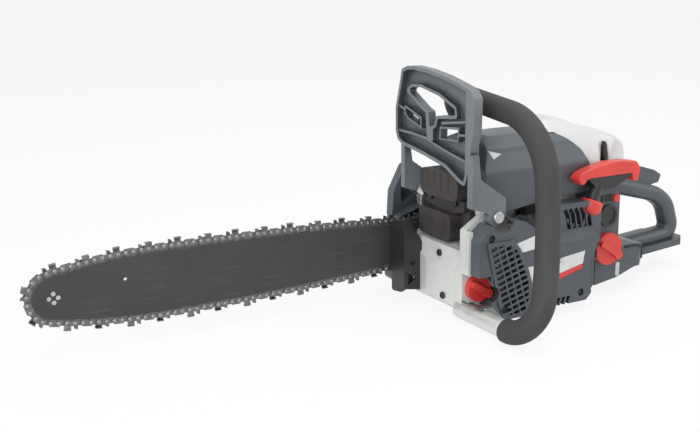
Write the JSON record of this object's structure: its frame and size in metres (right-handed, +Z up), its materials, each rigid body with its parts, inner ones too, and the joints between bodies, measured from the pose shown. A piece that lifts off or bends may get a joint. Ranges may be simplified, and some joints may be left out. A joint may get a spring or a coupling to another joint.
{
  "type": "chainsaw",
  "caption": "Petrol chainsaw with guide bar and saw chain, wrap-round front handle, tilting hand guard, recoil starter and rear handle with throttle.",
  "frame": {"origin": "on the ground under the crankshaft's axis, in the engine's middle plane, on the crankcase's flat foot", "axes": "-X along the guide bar to its tip, +Y to the operator's right where the bar is, +Z up"},
  "size_m": [0.8211, 0.2805, 0.275],
  "materials": {
    "chain_steel": "satin",
    "bar_steel": "satin",
    "casting": "satin",
    "steel": "satin",
    "cap_red": "satin",
    "body_plastic": "fine grain",
    "guard_plastic": "fine grain",
    "filter_plastic": "satin",
    "dark_plastic": "satin",
    "grip_rubber": "matt",
    "muffler_metal": "matt",
    "bright_sheet": "satin",
    "engine_alloy": "cast",
    "tube_metal": "satin",
    "rubber_black": "matt",
    "filter_felt": "matt",
    "clear_window": "milky",
    "rope": "braided"
  },
  "bodies": {
    "saw": {"air_filter": "filter_felt", "air_filter_cover": "filter_plastic", "bar_nuts": "steel", "bar_studs": "steel", "brake_band": "steel", "bumper": "dark_plastic", "carburettor": "engine_alloy", "clutch_cover": "body_plastic", "clutch_drum": "steel", "connecting_rod": "steel", "cover_screws": "steel", "crankcase": "casting", "cutters": "chain_steel", "cylinder": "engine_alloy", "drive_links": "chain_steel", "drive_sprocket": "steel", "front_handle_tube": "tube_metal", "fuel_window": "clear_window", "guard_pivot_pin": "steel", "guard_pivot_screw": "steel", "guide_bar": "bar_steel", "handle_grip": "grip_rubber", "heat_shield": "bright_sheet", "ignition_coil": "dark_plastic", "intake_boot": "rubber_black", "muffler_band": "muffler_metal", "muffler_body": "muffler_metal", "muffler_bolts": "steel", "nose_rivets": "steel", "nose_sprocket": "steel", "oil_pump": "dark_plastic", "piston": "engine_alloy", "rear_handle": "body_plastic", "recoil_spring": "steel", "rope_guide": "cap_red", "side_plug": "dark_plastic", "spark_plug": "steel", "spark_plug_boot": "rubber_black", "starter_cover": "body_plastic", "tension_screw": "steel", "tie_straps": "chain_steel", "top_cover": "body_plastic", "vibration_mounts": "rubber_black", "wrist_pin": "steel"},
    "guard": {"hand_guard": "guard_plastic"},
    "trigger": {"throttle_trigger": "cap_red"},
    "lockout": {"throttle_lockout": "body_plastic"},
    "pull_grip": {"starter_grip": "cap_red", "grip_core": "dark_plastic", "starter_rope": "rope"},
    "pulley": {"recoil_pulley": "dark_plastic"},
    "oil_filler_cap": {"oil_cap": "cap_red"},
    "fuel_filler_cap": {"fuel_cap": "cap_red"},
    "hood_clip": {"filter_latch": "dark_plastic"},
    "switch": {"stop_switch": "dark_plastic"},
    "choke": {"choke_knob": "cap_red"},
    "crank": {"crankshaft": "steel", "flywheel": "engine_alloy", "clutch_shoes": "steel"}
  },
  "joints": [
    {"name": "guard_tilt", "type": "hinge", "parent": "saw", "child": "guard", "pos_m": [-0.075, 0, 0.121], "axis": [0, -1, 0], "range_deg": [0, 18]},
    {"name": "trigger_squeeze", "type": "hinge", "parent": "saw", "child": "trigger", "pos_m": [0.142, 0, 0.119], "axis": [0, -1, 0], "range_deg": [0, 12], "stiffness_Nm_per_rad": 0.3},
    {"name": "lockout_press", "type": "hinge", "parent": "saw", "child": "lockout", "pos_m": [0.194, 0, 0.11233], "axis": [0, 1, 0], "range_deg": [0, 5], "stiffness_Nm_per_rad": 0.4},
    {"name": "starter_pull", "type": "slide", "parent": "saw", "child": "pull_grip", "axis": [0.3746, 0, 0.9272], "range_m": [0, 0.088], "stiffness_N_per_m": 60},
    {"name": "pulley_turn", "type": "hinge", "parent": "saw", "child": "pulley", "pos_m": [0, 0, 0.0665], "axis": [0, -1, 0], "range_deg": [0, 137]},
    {"name": "oil_cap_turn", "type": "hinge", "parent": "saw", "child": "oil_filler_cap", "pos_m": [-0.087, 0, 0.04], "axis": [0, 1, 0], "range_deg": [0, 90]},
    {"name": "fuel_cap_turn", "type": "hinge", "parent": "saw", "child": "fuel_filler_cap", "pos_m": [0.1, 0, 0.057], "axis": [0, 1, 0], "range_deg": [0, 90]},
    {"name": "clip_swing", "type": "hinge", "parent": "saw", "child": "hood_clip", "pos_m": [0.102, -0.0445, 0.1591], "axis": [1, 0, 0], "range_deg": [0, 30]},
    {"name": "switch_slide", "type": "slide", "parent": "saw", "child": "switch", "axis": [1, 0, 0], "range_m": [0, 0.003]},
    {"name": "choke_pull", "type": "slide", "parent": "saw", "child": "choke", "axis": [0, -1, 0], "range_m": [0, 0.009]},
    {"name": "crank_spin", "type": "hinge", "parent": "saw", "child": "crank", "pos_m": [0, 0, 0.0665], "axis": [0, 1, 0], "continuous": true}
  ],
  "couplings": [
    {"joint": "pulley_turn", "follows": "starter_pull", "rad_per_m": 27.1}
  ]
}
